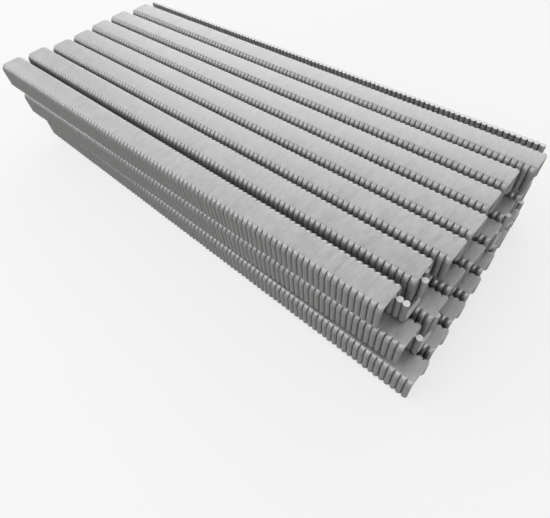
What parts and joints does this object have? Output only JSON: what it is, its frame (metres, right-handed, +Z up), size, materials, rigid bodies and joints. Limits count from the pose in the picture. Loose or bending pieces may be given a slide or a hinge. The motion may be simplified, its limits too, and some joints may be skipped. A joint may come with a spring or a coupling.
{
  "type": "stack of collated sausage clips",
  "caption": "Nested stack of loose sticks of U-shaped round-wire aluminium clips, bonded side by side, for closing sausage casings; upright and inverted sticks interlock.",
  "frame": {"origin": "on the table, below the middle of the stack's footprint", "axes": "+X along the sticks, +Y across the rows to the back, +Z up"},
  "size_m": [0.2132, 0.0872, 0.0331],
  "materials": {
    "clip_wire": "drawn round wire, satin, with pressed crowns"
  },
  "bodies": {
    "bottom_upright_stick_1": {"bottom_upright_stick_1": "clip_wire"},
    "bottom_upright_stick_2": {"bottom_upright_stick_2": "clip_wire"},
    "bottom_upright_stick_3": {"bottom_upright_stick_3": "clip_wire"},
    "bottom_upright_stick_4": {"bottom_upright_stick_4": "clip_wire"},
    "bottom_upright_stick_5": {"bottom_upright_stick_5": "clip_wire"},
    "bottom_upright_stick_6": {"bottom_upright_stick_6": "clip_wire"},
    "bottom_upright_stick_7": {"bottom_upright_stick_7": "clip_wire"},
    "bottom_inverted_stick_1": {"bottom_inverted_stick_1": "clip_wire"},
    "bottom_inverted_stick_2": {"bottom_inverted_stick_2": "clip_wire"},
    "bottom_inverted_stick_3": {"bottom_inverted_stick_3": "clip_wire"},
    "bottom_inverted_stick_4": {"bottom_inverted_stick_4": "clip_wire"},
    "bottom_inverted_stick_5": {"bottom_inverted_stick_5": "clip_wire"},
    "bottom_inverted_stick_6": {"bottom_inverted_stick_6": "clip_wire"},
    "bottom_inverted_stick_7": {"bottom_inverted_stick_7": "clip_wire"},
    "middle_upright_stick_1": {"middle_upright_stick_1": "clip_wire"},
    "middle_upright_stick_2": {"middle_upright_stick_2": "clip_wire"},
    "middle_upright_stick_3": {"middle_upright_stick_3": "clip_wire"},
    "middle_upright_stick_4": {"middle_upright_stick_4": "clip_wire"},
    "middle_upright_stick_5": {"middle_upright_stick_5": "clip_wire"},
    "middle_upright_stick_6": {"middle_upright_stick_6": "clip_wire"},
    "middle_upright_stick_7": {"middle_upright_stick_7": "clip_wire"},
    "middle_inverted_stick_1": {"middle_inverted_stick_1": "clip_wire"},
    "middle_inverted_stick_2": {"middle_inverted_stick_2": "clip_wire"},
    "middle_inverted_stick_3": {"middle_inverted_stick_3": "clip_wire"},
    "middle_inverted_stick_4": {"middle_inverted_stick_4": "clip_wire"},
    "middle_inverted_stick_5": {"middle_inverted_stick_5": "clip_wire"},
    "middle_inverted_stick_6": {"middle_inverted_stick_6": "clip_wire"},
    "middle_inverted_stick_7": {"middle_inverted_stick_7": "clip_wire"},
    "top_upright_stick_1": {"top_upright_stick_1": "clip_wire"},
    "top_upright_stick_2": {"top_upright_stick_2": "clip_wire"},
    "top_upright_stick_3": {"top_upright_stick_3": "clip_wire"},
    "top_upright_stick_4": {"top_upright_stick_4": "clip_wire"},
    "top_upright_stick_5": {"top_upright_stick_5": "clip_wire"},
    "top_upright_stick_6": {"top_upright_stick_6": "clip_wire"},
    "top_upright_stick_7": {"top_upright_stick_7": "clip_wire"},
    "top_inverted_stick_1": {"top_inverted_stick_1": "clip_wire"},
    "top_inverted_stick_2": {"top_inverted_stick_2": "clip_wire"},
    "top_inverted_stick_3": {"top_inverted_stick_3": "clip_wire"},
    "top_inverted_stick_4": {"top_inverted_stick_4": "clip_wire"},
    "top_inverted_stick_5": {"top_inverted_stick_5": "clip_wire"},
    "top_inverted_stick_6": {"top_inverted_stick_6": "clip_wire"},
    "top_inverted_stick_7": {"top_inverted_stick_7": "clip_wire"}
  },
  "joints": [
    {"name": "bottom_upright_stick_1_slide", "type": "slide", "parent": "bottom_inverted_stick_4", "child": "bottom_upright_stick_1", "axis": [0.9998, -0.0192, 0], "range_m": [0, 0.215]},
    {"name": "bottom_upright_stick_2_slide", "type": "slide", "parent": "bottom_inverted_stick_4", "child": "bottom_upright_stick_2", "axis": [0.9998, -0.0192, 0], "range_m": [0, 0.215]},
    {"name": "bottom_upright_stick_3_slide", "type": "slide", "parent": "bottom_inverted_stick_4", "child": "bottom_upright_stick_3", "axis": [0.9998, -0.0192, 0], "range_m": [0, 0.215]},
    {"name": "bottom_upright_stick_4_slide", "type": "slide", "parent": "bottom_inverted_stick_4", "child": "bottom_upright_stick_4", "axis": [0.9998, -0.0192, 0], "range_m": [0, 0.215]},
    {"name": "bottom_upright_stick_5_slide", "type": "slide", "parent": "bottom_inverted_stick_4", "child": "bottom_upright_stick_5", "axis": [0.9998, -0.0192, 0], "range_m": [0, 0.215]},
    {"name": "bottom_upright_stick_6_slide", "type": "slide", "parent": "bottom_inverted_stick_4", "child": "bottom_upright_stick_6", "axis": [0.9998, -0.0192, 0], "range_m": [0, 0.215]},
    {"name": "bottom_upright_stick_7_slide", "type": "slide", "parent": "bottom_inverted_stick_4", "child": "bottom_upright_stick_7", "axis": [0.9998, -0.0192, 0], "range_m": [0, 0.215]},
    {"name": "bottom_inverted_stick_1_slide", "type": "slide", "parent": "bottom_inverted_stick_4", "child": "bottom_inverted_stick_1", "axis": [-0.9998, 0.0192, 0], "range_m": [0, 0.215]},
    {"name": "bottom_inverted_stick_2_slide", "type": "slide", "parent": "bottom_inverted_stick_4", "child": "bottom_inverted_stick_2", "axis": [-0.9998, 0.0192, 0], "range_m": [0, 0.215]},
    {"name": "bottom_inverted_stick_3_slide", "type": "slide", "parent": "bottom_inverted_stick_4", "child": "bottom_inverted_stick_3", "axis": [-0.9998, 0.0192, 0], "range_m": [0, 0.215]},
    {"name": "bottom_inverted_stick_5_slide", "type": "slide", "parent": "bottom_inverted_stick_4", "child": "bottom_inverted_stick_5", "axis": [-0.9998, 0.0192, 0], "range_m": [0, 0.215]},
    {"name": "bottom_inverted_stick_6_slide", "type": "slide", "parent": "bottom_inverted_stick_4", "child": "bottom_inverted_stick_6", "axis": [-0.9998, 0.0192, 0], "range_m": [0, 0.215]},
    {"name": "bottom_inverted_stick_7_slide", "type": "slide", "parent": "bottom_inverted_stick_4", "child": "bottom_inverted_stick_7", "axis": [-0.9998, 0.0192, 0], "range_m": [0, 0.215]},
    {"name": "middle_upright_stick_1_slide", "type": "slide", "parent": "bottom_inverted_stick_4", "child": "middle_upright_stick_1", "axis": [1, 0, 0], "range_m": [0, 0.215]},
    {"name": "middle_upright_stick_2_slide", "type": "slide", "parent": "bottom_inverted_stick_4", "child": "middle_upright_stick_2", "axis": [1, 0, 0], "range_m": [0, 0.215]},
    {"name": "middle_upright_stick_3_slide", "type": "slide", "parent": "bottom_inverted_stick_4", "child": "middle_upright_stick_3", "axis": [1, 0, 0], "range_m": [0, 0.215]},
    {"name": "middle_upright_stick_4_slide", "type": "slide", "parent": "bottom_inverted_stick_4", "child": "middle_upright_stick_4", "axis": [1, 0, 0], "range_m": [0, 0.215]},
    {"name": "middle_upright_stick_5_slide", "type": "slide", "parent": "bottom_inverted_stick_4", "child": "middle_upright_stick_5", "axis": [1, 0, 0], "range_m": [0, 0.215]},
    {"name": "middle_upright_stick_6_slide", "type": "slide", "parent": "bottom_inverted_stick_4", "child": "middle_upright_stick_6", "axis": [1, 0, 0], "range_m": [0, 0.215]},
    {"name": "middle_upright_stick_7_slide", "type": "slide", "parent": "bottom_inverted_stick_4", "child": "middle_upright_stick_7", "axis": [1, 0, 0], "range_m": [0, 0.215]},
    {"name": "middle_inverted_stick_1_slide", "type": "slide", "parent": "bottom_inverted_stick_4", "child": "middle_inverted_stick_1", "axis": [-1, 0, 0], "range_m": [0, 0.215]},
    {"name": "middle_inverted_stick_2_slide", "type": "slide", "parent": "bottom_inverted_stick_4", "child": "middle_inverted_stick_2", "axis": [-1, 0, 0], "range_m": [0, 0.215]},
    {"name": "middle_inverted_stick_3_slide", "type": "slide", "parent": "bottom_inverted_stick_4", "child": "middle_inverted_stick_3", "axis": [-1, 0, 0], "range_m": [0, 0.215]},
    {"name": "middle_inverted_stick_4_slide", "type": "slide", "parent": "bottom_inverted_stick_4", "child": "middle_inverted_stick_4", "axis": [-1, 0, 0], "range_m": [0, 0.215]},
    {"name": "middle_inverted_stick_5_slide", "type": "slide", "parent": "bottom_inverted_stick_4", "child": "middle_inverted_stick_5", "axis": [-1, 0, 0], "range_m": [0, 0.215]},
    {"name": "middle_inverted_stick_6_slide", "type": "slide", "parent": "bottom_inverted_stick_4", "child": "middle_inverted_stick_6", "axis": [-1, 0, 0], "range_m": [0, 0.215]},
    {"name": "middle_inverted_stick_7_slide", "type": "slide", "parent": "bottom_inverted_stick_4", "child": "middle_inverted_stick_7", "axis": [-1, 0, 0], "range_m": [0, 0.215]},
    {"name": "top_upright_stick_1_lift", "type": "slide", "parent": "bottom_inverted_stick_4", "child": "top_upright_stick_1", "axis": [0, 0, 1], "range_m": [0, 0.03]},
    {"name": "top_upright_stick_2_lift", "type": "slide", "parent": "bottom_inverted_stick_4", "child": "top_upright_stick_2", "axis": [0, 0, 1], "range_m": [0, 0.03]},
    {"name": "top_upright_stick_3_lift", "type": "slide", "parent": "bottom_inverted_stick_4", "child": "top_upright_stick_3", "axis": [0, 0, 1], "range_m": [0, 0.03]},
    {"name": "top_upright_stick_4_lift", "type": "slide", "parent": "bottom_inverted_stick_4", "child": "top_upright_stick_4", "axis": [0, 0, 1], "range_m": [0, 0.03]},
    {"name": "top_upright_stick_5_lift", "type": "slide", "parent": "bottom_inverted_stick_4", "child": "top_upright_stick_5", "axis": [0, 0, 1], "range_m": [0, 0.03]},
    {"name": "top_upright_stick_6_lift", "type": "slide", "parent": "bottom_inverted_stick_4", "child": "top_upright_stick_6", "axis": [0, 0, 1], "range_m": [0, 0.03]},
    {"name": "top_upright_stick_7_lift", "type": "slide", "parent": "bottom_inverted_stick_4", "child": "top_upright_stick_7", "axis": [0, 0, 1], "range_m": [0, 0.03]},
    {"name": "top_inverted_stick_1_slide", "type": "slide", "parent": "bottom_inverted_stick_4", "child": "top_inverted_stick_1", "axis": [-1, 0, 0], "range_m": [0, 0.215]},
    {"name": "top_inverted_stick_2_slide", "type": "slide", "parent": "bottom_inverted_stick_4", "child": "top_inverted_stick_2", "axis": [-1, 0, 0], "range_m": [0, 0.215]},
    {"name": "top_inverted_stick_3_slide", "type": "slide", "parent": "bottom_inverted_stick_4", "child": "top_inverted_stick_3", "axis": [-1, 0, 0], "range_m": [0, 0.215]},
    {"name": "top_inverted_stick_4_slide", "type": "slide", "parent": "bottom_inverted_stick_4", "child": "top_inverted_stick_4", "axis": [-1, 0, 0], "range_m": [0, 0.215]},
    {"name": "top_inverted_stick_5_slide", "type": "slide", "parent": "bottom_inverted_stick_4", "child": "top_inverted_stick_5", "axis": [-1, 0, 0], "range_m": [0, 0.215]},
    {"name": "top_inverted_stick_6_slide", "type": "slide", "parent": "bottom_inverted_stick_4", "child": "top_inverted_stick_6", "axis": [-1, 0, 0], "range_m": [0, 0.215]},
    {"name": "top_inverted_stick_7_slide", "type": "slide", "parent": "bottom_inverted_stick_4", "child": "top_inverted_stick_7", "axis": [-1, 0, 0], "range_m": [0, 0.215]}
  ]
}
